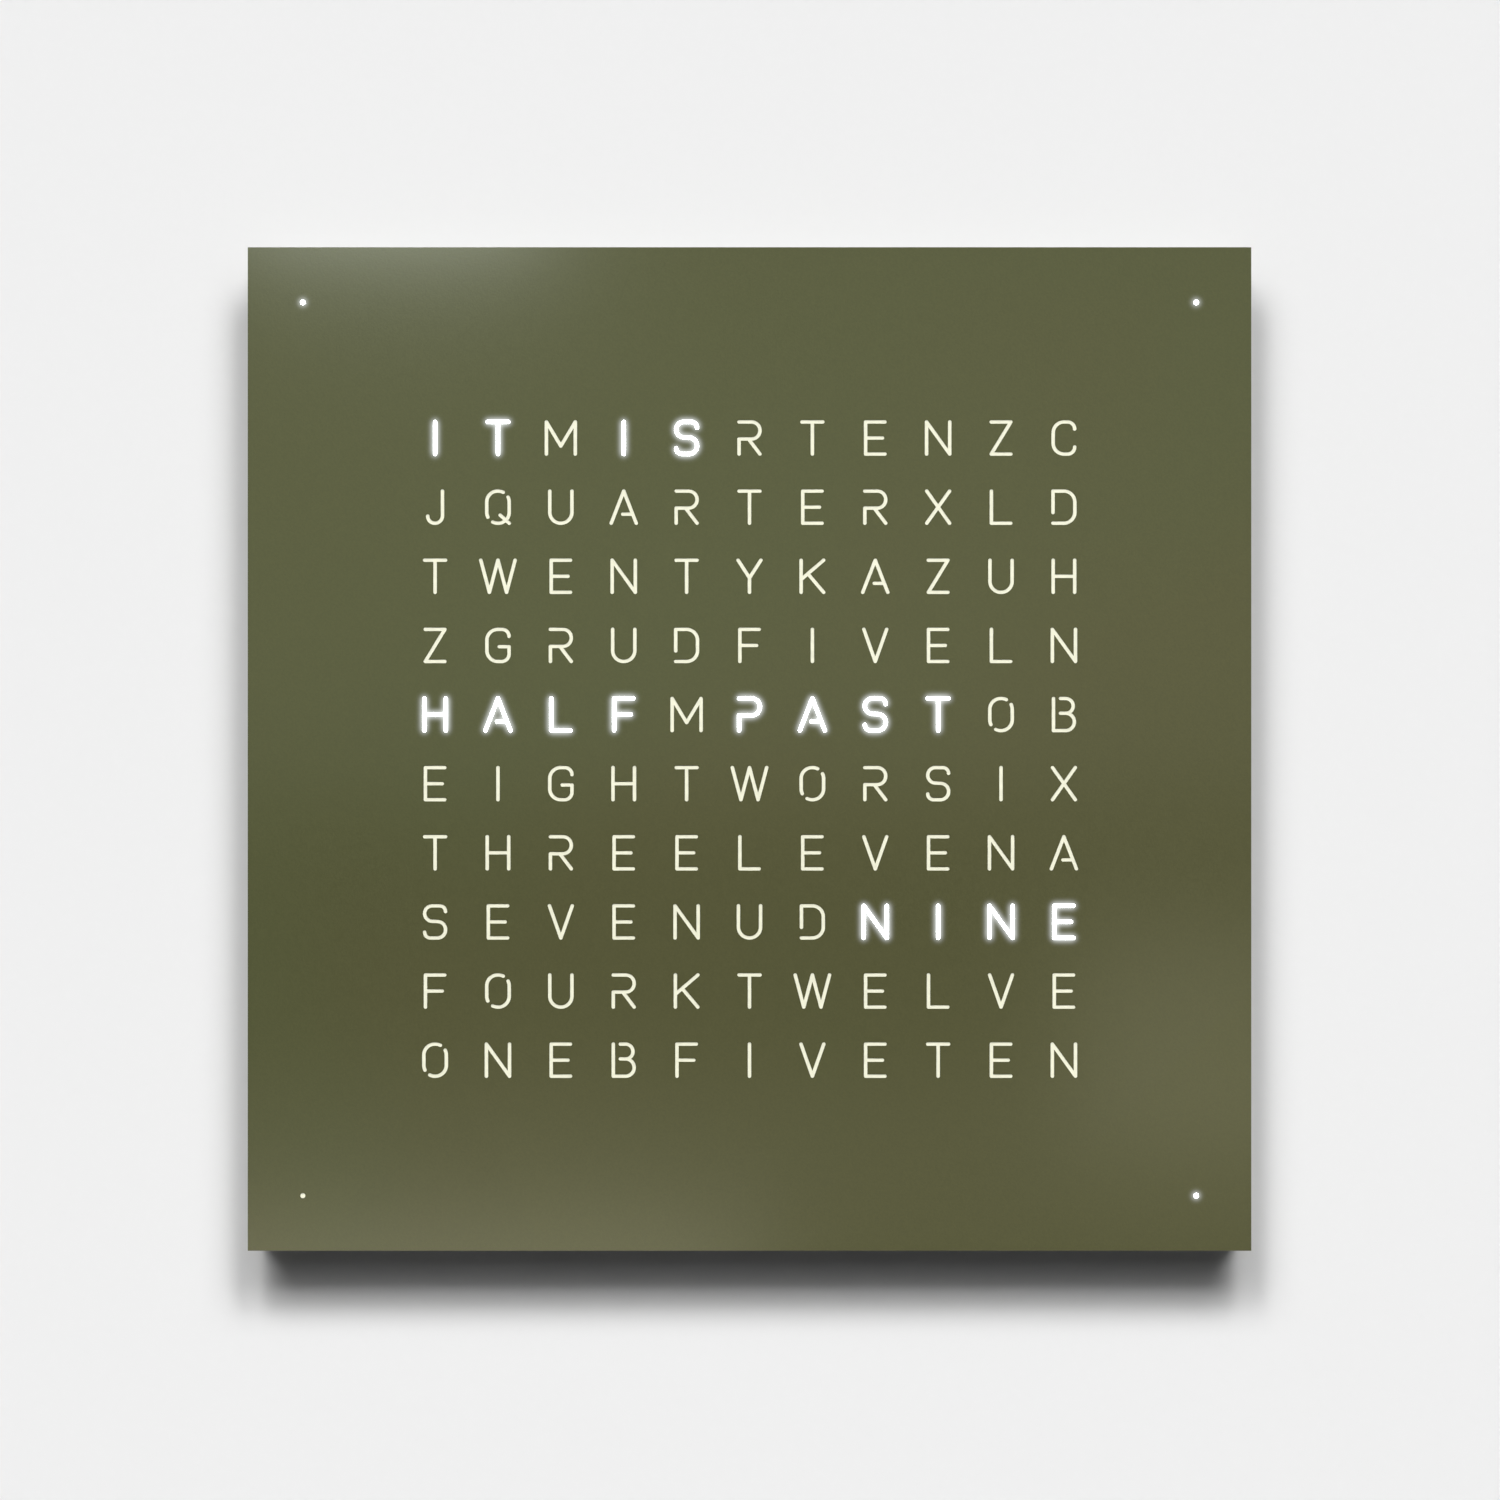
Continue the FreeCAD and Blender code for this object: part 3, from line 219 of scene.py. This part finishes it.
def lacquer(name, colour):
    finish = Finish(name, Coat_Weight=0.5, Coat_Roughness=0.18)
    grain = finish.noise(2.2 * mm, detail=4, stretch=(0.06, 1, 1))
    peel = finish.noise(5 * mm, detail=1)
    finish.feed(Base_Color=finish.between(grain, tint(colour, 0.75), tint(colour, 1.3)))
    finish.feed(Roughness=0.34 + grain * 0.12)
    return finish.bump(grain * 0.4 + peel, 0.03 * mm)


def metal(name, colour, rough, brushed=(1, 1, 1), grain=0.6 * mm):
    finish = Finish(name, Metallic=1.0)
    streaks = finish.noise(grain, detail=3, stretch=brushed)
    haze = finish.noise(14 * mm, detail=2)
    finish.feed(Base_Color=finish.between(haze, tint(colour, 0.93), tint(colour, 1.04)))
    finish.feed(Roughness=rough + (streaks - 0.5) * 0.25)
    return finish.bump(streaks, 0.01 * mm)


def moulded(name, colour, rough, grain=0.5 * mm):
    finish = Finish(name)
    texture = finish.noise(grain, detail=2)
    shade = finish.noise(25 * mm, detail=1)
    finish.feed(Base_Color=finish.between(shade, tint(colour, 0.9), tint(colour, 1.06)))
    finish.feed(Roughness=rough + (texture - 0.5) * 0.2)
    return finish.bump(texture, 0.015 * mm)


def circuitBoard(name, mask, track, pitch, trackHalf=0.35 * mm):
    finish = Finish(name)
    across = finish.x.near(pitch) < trackHalf
    upward = finish.z.near(pitch * 1.4) < trackHalf
    weave = finish.noise(0.7 * mm, detail=1)
    lines = across.larger(upward)
    finish.feed(Base_Color=finish.blend(lines * 0.6, mask, track))
    finish.feed(Roughness=0.3 + weave * 0.2)
    return finish.bump(lines + weave * 0.2, 0.03 * mm)


def ribbonCable(name, colour, marked, pitch):
    finish = Finish(name, Roughness=0.42)
    ridge = finish.x.near(pitch) / (pitch / 2)
    firstWire = finish.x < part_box("ribbon_cable")[0].x + pitch
    # painted shade: the grooves between the wires are darkened to 0.55 of the sleeve colour
    wires = finish.between(ridge, tint(colour, 0.55), colour, 0.0, 0.5)
    finish.feed(Base_Color=finish.blend(firstWire, wires, marked))
    return finish.bump(ridge, 0.2 * mm)


def electrolyticCan(name, bare, sleeve, mark):
    low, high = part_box("capacitors")
    finish = Finish(name)
    top = finish.y < low.y + 0.4 * mm
    stripe = finish.x > (low.x + high.x) / 2 + (high.x - low.x) * 0.28
    brushed = finish.noise(0.5 * mm, detail=2, stretch=(1, 0.1, 1))
    side = finish.blend(stripe, sleeve, mark)
    finish.feed(Base_Color=finish.blend(top, side, bare), Metallic=top)
    finish.feed(Roughness=0.3 + brushed * 0.15)
    return finish.bump(brushed, 0.01 * mm)


def phosphorLed(name, cup, dull, phosphor, windowRadius=1.8 * mm):
    finish = Finish(name, Roughness=0.3)
    across = (finish.x + pitchAcross / 2).near(pitchAcross)
    upward = (finish.z + pitchUp).near(pitchUp)
    window = across ** 2 + upward ** 2 < windowRadius ** 2
    rim = finish.between(finish.noise(0.4 * mm), dull, cup)
    finish.feed(Base_Color=finish.blend(window, rim, phosphor))
    return finish.bump(1 - window, 0.1 * mm)


whiteBoard = {"mask": rgb(0.75, 0.76, 0.74), "track": rgb(0.55, 0.57, 0.53), "pitch": pitchAcross / 4}
greenBoard = {"mask": rgb(0.012, 0.09, 0.03), "track": rgb(0.03, 0.2, 0.06), "pitch": 3.5 * mm}
ribbon = {"colour": rgb(0.3, 0.31, 0.33), "marked": rgb(0.5, 0.04, 0.03), "pitch": 1.7 * mm}
can = {"bare": rgb(0.75, 0.75, 0.76), "sleeve": rgb(0.02, 0.025, 0.04), "mark": rgb(0.55, 0.56, 0.58)}
led = {"cup": rgb(0.85, 0.85, 0.83), "dull": rgb(0.72, 0.72, 0.7), "phosphor": rgb(0.85, 0.62, 0.1)}

# One finish for each material slot of the record
finishes = {
    "face_coat": powderCoat("faceCoat", faceCoat),
    "back_coat": powderCoat("backCoat", backCoat),
    "case_lacquer": lacquer("caseLacquer", rgb(0.012, 0.012, 0.012)),
    "letter_resin": resin("letterResin", rgb(0.86, 0.855, 0.67)),
    "lit_resin": resin("litResin", rgb(0.93, 0.96, 1.0), cloudy=0.94, glow=10),
    "diffuser": resin("opalSheet", rgb(0.85, 0.85, 0.83)),
    "grid_plastic": moulded("gridPlastic", rgb(0.82, 0.82, 0.8), 0.5),
    "circuit_board": circuitBoard("whiteBoard", **whiteBoard),
    "control_board": circuitBoard("greenBoard", **greenBoard),
    "chip_body": moulded("chipBody", rgb(0.02, 0.02, 0.022), 0.55, 0.2 * mm),
    "led_body": phosphorLed("phosphorLed", **led),
    "connector_plastic": moulded("connectorPlastic", rgb(0.72, 0.68, 0.55), 0.45),
    "zinc_steel": metal("zincSteel", rgb(0.62, 0.63, 0.63), 0.36, grain=1.2 * mm),
    "nickel": metal("nickelPlate", rgb(0.68, 0.66, 0.6), 0.22),
    "brass": metal("turnedBrass", rgb(0.7, 0.5, 0.2), 0.28, brushed=(1, 12, 1)),
    "ferrite": moulded("ferriteRod", rgb(0.045, 0.045, 0.05), 0.6),
    "copper_wire": metal("copperWire", rgb(0.6, 0.22, 0.08), 0.3),
    "black_plastic": moulded("blackPlastic", rgb(0.045, 0.045, 0.047), 0.38),
    "wire_sleeve": moulded("wireSleeve", rgb(0.02, 0.02, 0.022), 0.5, 1 * mm),
    "ribbon_sleeve": ribbonCable("ribbonSleeve", **ribbon),
    "pad_rubber": moulded("padRubber", rgb(0.6, 0.61, 0.6), 0.35),
    "foam": moulded("cellFoam", rgb(0.03, 0.03, 0.032), 0.9, 0.7 * mm),
    "sleeve_can": electrolyticCan("canSleeve", **can),
}

for part in frame["record"]["subparts"]:
    node = nodes[part["node"]]
    node.data.materials.clear()
    node.data.materials.append(finishes[part["material_slot"]].material)
print("finishes on the CAD nodes:", len(finishes))


# A geometry tree with named inputs, and the wires that come from them
def startTree(name, *inputs):
    group = bpy.data.node_groups.new(name, "GeometryNodeTree")
    for socket, kind in (("Geometry", "Geometry"), *inputs, ("Finish", "Material")):
        group.interface.new_socket(socket, in_out="INPUT", socket_type="NodeSocket" + kind)
    group.interface.new_socket("Geometry", in_out="OUTPUT", socket_type="NodeSocketGeometry")
    tree = Tree(group)
    given = tree.add("NodeGroupInput").socket.node.outputs
    return group, tree, {socket.name: Wire(tree, socket) for socket in given if socket.name}


def endTree(tree, shape, finish):
    real = tree.add("GeometryNodeRealizeInstances", None, {"Geometry": shape})
    done = tree.add("GeometryNodeSetMaterial", None, {"Geometry": real, "Material": finish})
    tree.add("NodeGroupOutput", None, {"Geometry": done})


# Repeats a piece's own mesh in columns and rows
def repeatTree():
    group, tree, given = startTree("repeatPiece", ("Columns", "Int"), ("Column Step", "Vector"),
                                   ("Rows", "Int"), ("Row Step", "Vector"))
    shape = given["Geometry"]
    for count, step in (("Columns", "Column Step"), ("Rows", "Row Step")):
        sockets = {"Count": given[count], "Offset": given[step]}
        line = tree.add("GeometryNodeMeshLine", {"mode": "OFFSET"}, sockets)
        shape = tree.add("GeometryNodeInstanceOnPoints", None, {"Points": line, "Instance": shape})
    endTree(tree, shape, given["Finish"])
    return group


# Winds a wire into a coil along Z
def windingTree():
    group, tree, given = startTree("windCoil", ("Turns", "Float"), ("Radius", "Float"),
                                   ("Length", "Float"), ("Wire Radius", "Float"))
    helix = tree.add("GeometryNodeCurveSpiral", None, {
        "Resolution": 24, "Rotations": given["Turns"], "Start Radius": given["Radius"],
        "End Radius": given["Radius"], "Height": given["Length"]})
    ring = tree.add("GeometryNodeCurvePrimitiveCircle", None,
                    {"Resolution": 8, "Radius": given["Wire Radius"]})
    tube = tree.add("GeometryNodeCurveToMesh", None,
                    {"Curve": helix, "Profile Curve": ring, "Fill Caps": True})
    endTree(tree, tube, given["Finish"])
    return group


# A plain mesh made by a tree, moved to its place and put on its body
def grown(name, mesh, tree, values, shift, body, slotName):
    maker = bpy.data.objects.new(name + "Maker", mesh)
    bpy.context.scene.collection.objects.link(maker)
    modifier = maker.modifiers.new("grow", "NODES")
    modifier.node_group = tree
    inputs = [item for item in tree.interface.items_tree if item.in_out == "INPUT"]
    sockets = {item.name: item.identifier for item in inputs}
    for socket, value in values.items():
        modifier[sockets[socket]] = value
    modifier[sockets["Finish"]] = finishes[slotName].material
    maker.update_tag()
    bpy.context.view_layer.update()
    result = maker.evaluated_get(bpy.context.evaluated_depsgraph_get())
    plain = bpy.data.meshes.new_from_object(result)
    bpy.data.objects.remove(maker)
    plain.transform(Matrix.Translation(shift))
    piece = bpy.data.objects.new(name, plain)
    bpy.context.scene.collection.objects.link(piece)
    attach(piece, body)


repeater = repeatTree()
winder = windingTree()


def chamferedBlock(name, size, edge):
    shape = bmesh.new()
    bmesh.ops.create_cube(shape, size=1)
    bmesh.ops.scale(shape, vec=size, verts=shape.verts)
    bmesh.ops.bevel(shape, geom=shape.edges[:], offset=edge, segments=1, affect="EDGES")
    mesh = bpy.data.meshes.new(name)
    shape.to_mesh(mesh)
    shape.free()
    return mesh


# Two rows of legs, at the top and foot of a chip when upright and else at its sides
def chipLegs(name, low, high, leg, upright):
    wide, thick, reach = leg["wide"], leg["thick"], leg["reach"]
    along, away = Vector((1, 0, 0)), Vector((0, 0, 1))
    size, gap = (wide, thick, reach), high.z - low.z + reach
    if not upright:
        along, away = away, along
        size, gap = (reach, thick, wide), high.x - low.x + reach
    middle = Vector(((low.x + high.x) / 2, boardFront - thick / 2, (low.z + high.z) / 2))
    start = middle - along * leg["pitch"] * (leg["count"] - 1) / 2 - away * gap / 2
    values = {"Columns": leg["count"], "Column Step": along * leg["pitch"],
              "Rows": 2, "Row Step": away * gap}
    mesh = chamferedBlock(name, size, leg["edge"])
    grown(name, mesh, repeater, values, start, "clock", "nickel")


mcuLeg = {"count": 12, "pitch": 0.8 * mm, "wide": 0.3 * mm, "thick": 0.25 * mm, "reach": 1 * mm,
          "edge": 0.075 * mm}
mcuLow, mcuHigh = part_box("microcontroller")
chipLegs("mcuLegsAcross", mcuLow, mcuHigh, mcuLeg, False)
chipLegs("mcuLegsUp", mcuLow, mcuHigh, mcuLeg, True)

driverLeg = {"count": 8, "pitch": 1.2 * mm, "wide": 0.4 * mm, "thick": 0.25 * mm, "reach": 1 * mm,
             "edge": 0.08 * mm}
drivers = {"count": 3, "tall": 4 * mm}
driverLow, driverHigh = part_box("driver_chips")
driverStep = (driverHigh.z - driverLow.z - drivers["tall"]) / (drivers["count"] - 1)
for number in range(drivers["count"]):
    foot = driverLow.z + number * driverStep
    low = Vector((driverLow.x, driverLow.y, foot))
    high = Vector((driverHigh.x, driverHigh.y, foot + drivers["tall"]))
    chipLegs("driverLegs%d" % number, low, high, driverLeg, True)

# A resistor above each light and a filter below it
atEveryLight = {"Columns": grid["columns"], "Column Step": (pitchAcross, 0, 0),
                "Rows": grid["rows"], "Row Step": (0, 0, pitchUp)}
resistor = {"size": (2 * mm, 0.6 * mm, 1.2 * mm), "beside": 7 * mm, "edge": 0.12 * mm}
for name, side, slotName in (("matrixResistors", 1, "chip_body"), ("matrixFilters", -1, "connector_plastic")):
    mesh = chamferedBlock(name, resistor["size"], resistor["edge"])
    place = Vector((firstLight.x, boardFront - resistor["size"][1] / 2,
                    firstLight.z + side * resistor["beside"]))
    grown(name, mesh, repeater, atEveryLight, place, "clock", slotName)

# A drop of phosphor in every light
lens = {"radius": 1.75 * mm, "rise": 0.5 * mm, "rings": 5, "sides": 20}


def dropMesh(radius, rise, rings, sides):
    shape = bmesh.new()
    bmesh.ops.create_uvsphere(shape, u_segments=sides, v_segments=2 * rings, radius=1)
    below = [vertex for vertex in shape.verts if vertex.co.z < -0.01]
    bmesh.ops.delete(shape, geom=below, context="VERTS")
    rim = [edge for edge in shape.edges if edge.is_boundary]
    bmesh.ops.contextual_create(shape, geom=rim)
    bmesh.ops.recalc_face_normals(shape, faces=shape.faces)
    mesh = bpy.data.meshes.new("matrixLens")
    shape.to_mesh(mesh)
    shape.free()
    facing = Matrix.Rotation(math.radians(90), 4, "X")
    mesh.transform(facing @ Matrix.Diagonal((radius, radius, rise, 1)))
    for face in mesh.polygons:
        face.use_smooth = len(face.vertices) < sides
    return mesh


grown("matrixLenses", dropMesh(**lens), repeater, atEveryLight, firstLight, "clock", "led_body")

winding = {"wire": 0.25 * mm, "turns": 40.0}
coilLow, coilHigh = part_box("antenna_coil")
coil = {
    "Turns": winding["turns"],
    "Radius": (coilHigh.x - coilLow.x) / 2 - winding["wire"],
    "Length": coilHigh.z - coilLow.z - 2 * winding["wire"],
    "Wire Radius": winding["wire"],
}
coilFoot = Vector(((coilLow.x + coilHigh.x) / 2, (coilLow.y + coilHigh.y) / 2, coilLow.z + winding["wire"]))
grown("antennaWinding", bpy.data.meshes.new("empty"), winder, coil, coilFoot, "clock", "copper_wire")
print("small parts grown on the boards")


# A wall or floor that shows only from its front, and stops no light from behind
def plainStage(name, size, place, turn, shade):
    mesh = bpy.data.meshes.new(name)
    half = size / 2
    corners = [(-half, -half, 0), (half, -half, 0), (half, half, 0), (-half, half, 0)]
    mesh.from_pydata(corners, [], [(0, 1, 2, 3)])
    mesh.transform(Matrix.Translation(place) @ Matrix.Rotation(turn, 4, "X"))
    stage = bpy.data.objects.new(name, mesh)
    bpy.context.scene.collection.objects.link(stage)
    finish = Finish(name + "Paint", Roughness=0.9, Specular_IOR_Level=0.1)
    plaster = finish.noise(4 * mm, detail=2)
    paint = rgb(shade, shade, shade)
    finish.feed(Base_Color=finish.between(plaster, tint(paint, 0.995), paint))
    finish.bump(plaster, 0.02 * mm)
    behind = finish.add("ShaderNodeNewGeometry", output="Backfacing")
    shadow = finish.add("ShaderNodeLightPath", output="Is Shadow Ray")
    clear = finish.add("ShaderNodeBsdfTransparent")
    opaque = Wire(finish, finish.shader.outputs[0])
    mixed = finish.add("ShaderNodeMixShader", None, {0: behind.larger(shadow), 1: opaque, 2: clear})
    finish.join(finish.nodes["Material Output"], {"Surface": mixed})
    mesh.materials.append(finish.material)
    return stage


room = {"wall": 12, "wallShade": 0.8, "floor": 30, "floorShade": 0.68, "floorLevel": -1.6}
plainStage("wallPlane", room["wall"], Vector((0, 0, 0)), math.radians(90), room["wallShade"])
floor = plainStage("floorPlane", room["floor"], Vector((0, 0, room["floorLevel"])), 0, room["floorShade"])
floor.visible_diffuse = False          # it throws no light up at the wall


def aim(thing, place, target):
    thing.location = place
    thing.rotation_mode = "QUATERNION"
    thing.rotation_quaternion = (Vector(target) - Vector(place)).to_track_quat("-Z", "Y")


def lamp(name, kind, power, place, target, colour=(1, 1, 1), **settings):
    light = bpy.data.lights.new(name, kind)
    light.energy = power
    light.color = colour
    for setting, value in settings.items():
        setattr(light, setting, value)
    thing = bpy.data.objects.new(name, light)
    bpy.context.scene.collection.objects.link(thing)
    aim(thing, place, target)
    return thing


# Suns in degrees from straight ahead; together they throw the soft shadow below and beside the face
suns = (
    {"name": "keyMiddle", "sides": (1,), "power": 0.687, "turn": 0, "rise": 47.2, "soft": 41.4},
    {"name": "keyWide", "sides": (-1, 1), "power": 1.252, "turn": 30, "rise": 44.3, "soft": 24.5},
    {"name": "keyHigh", "sides": (-1, 1), "power": 0.899, "turn": 18, "rise": 52.8, "soft": 13.2},
    {"name": "keyLow", "sides": (-1, 1), "power": 0.147, "turn": 32.3, "rise": 21.4, "soft": 24.4},
)
sunAway = 5
for sun in suns:
    for side in sun["sides"]:
        turn = math.radians(sun["turn"] * side)
        rise = math.radians(sun["rise"])
        level = math.cos(rise)
        place = Vector((math.sin(turn) * level, -math.cos(turn) * level, math.sin(rise))) * sunAway
        lamp(sun["name"], "SUN", sun["power"], place, (0, 0, 0), angle=math.radians(sun["soft"]))

# Panels that only the gloss of the face picks up
sheens = (
    {"name": "sheenBroad", "power": 0.52, "x": 0, "z": 0.14, "wide": 0.6, "tall": 0.32,
     "colour": (1, 1, 0.95)},
    {"name": "sheenHigh", "power": 0.212, "x": -0.165, "z": 0.25, "wide": 0.14, "tall": 0.02,
     "colour": (0.94, 1, 0.94)},
    {"name": "sheenLow", "power": 0.165, "x": -0.14, "z": -0.245, "wide": 0.28, "tall": 0.05,
     "colour": (1, 0.96, 0.88)},
    {"name": "sheenFoot", "power": 0.1, "x": 0, "z": -0.2, "wide": 0.56, "tall": 0.1,
     "colour": (1, 0.98, 0.97)},
    {"name": "sheenLowRight", "power": 0.0575, "x": 0.21, "z": -0.135, "wide": 0.12, "tall": 0.1,
     "colour": (1, 0.96, 0.88)},
)
sheenPlane = -0.13          # how far in front of the wall the panels stand
for sheen in sheens:
    place = (sheen["x"], sheenPlane, sheen["z"])
    panel = lamp(sheen["name"], "AREA", sheen["power"], place, (sheen["x"], 0, sheen["z"]), sheen["colour"],
                 shape="RECTANGLE", size=sheen["wide"], size_y=sheen["tall"])
    panel.visible_diffuse = False
    panel.visible_camera = False

# Two panels that light the back
backLight = {"power": 45, "size": 1.4, "out": 1.4, "behind": 2, "up": 1.1}
for side in (-1, 1):
    place = (backLight["out"] * side, backLight["behind"], backLight["up"])
    panel = lamp("backLight%d" % side, "AREA", backLight["power"], place, (0, 0, 0),
                 shape="SQUARE", size=backLight["size"])
    panel.visible_camera = False

world = bpy.data.worlds.new("studio")
bpy.context.scene.world = world
world.use_nodes = True
sky = Tree(world.node_tree)
air = {"seen": 0.87, "glossy": 0.14, "diffuse": 0.045}
seen = sky.add("ShaderNodeLightPath", output="Is Camera Ray")
glossy = sky.add("ShaderNodeLightPath", output="Is Glossy Ray")
level = seen * (air["seen"] - air["diffuse"]) + glossy * (air["glossy"] - air["diffuse"]) + air["diffuse"]
sky.join(sky.nodes["Background"], {"Strength": level, "Color": rgb(1, 1, 1)})

# Camera, square on to the face; the photograph's frame is in pixels
photo = {"side": 1500, "facePixels": 1003.5, "centreX": 749.5, "centreY": 749, "lens": 250, "sensor": 36}
perPixel = faceSide / photo["facePixels"]
frameWidth = photo["side"] * perPixel
camera = bpy.data.objects.new("camera", bpy.data.cameras.new("camera"))
camera.data.lens = photo["lens"]
camera.data.sensor_width = photo["sensor"]
camera.data.clip_end = 100
bpy.context.scene.collection.objects.link(camera)
eye = Vector(((photo["side"] / 2 - photo["centreX"]) * perPixel,
              faceFront - frameWidth * photo["lens"] / photo["sensor"],
              (photo["centreY"] - photo["side"] / 2) * perPixel))
aim(camera, eye, eye + Vector((0, 1, 0)))
bpy.context.scene.camera = camera

# The lit letters' glow in the lens
scene = bpy.context.scene
scene.view_settings.view_transform = "Standard"
scene.view_settings.look = "None"
scene.use_nodes = True
glowTree = Tree(scene.node_tree)
glowTree.nodes.clear()
glow = {"floor": 1.1, "spread": 8.5 / photo["side"], "share": 0.15}
picture = glowTree.add("CompositorNodeRLayers")
floorColour = [glow["floor"]] * 4
bright = glowTree.add("CompositorNodeMixRGB", {"blend_type": "SUBTRACT"}, {1: picture, 2: floorColour})
bright = glowTree.add("CompositorNodeMixRGB", {"blend_type": "LIGHTEN"}, {1: bright, 2: rgb(0, 0, 0)})
reach = glowTree.add("CompositorNodeRelativeToPixel", {"data_type": "FLOAT", "reference_dimension": "X"},
                     {1: glow["spread"], 2: picture})
halo = glowTree.add("CompositorNodeBlur", {"filter_type": "GAUSS"}, {0: bright, 1: reach})
lit = glowTree.add("CompositorNodeMixRGB", {"blend_type": "ADD"}, {0: glow["share"], 1: picture, 2: halo})
glowTree.add("CompositorNodeComposite", None, {"Image": lit})
print("light, camera and glow set")
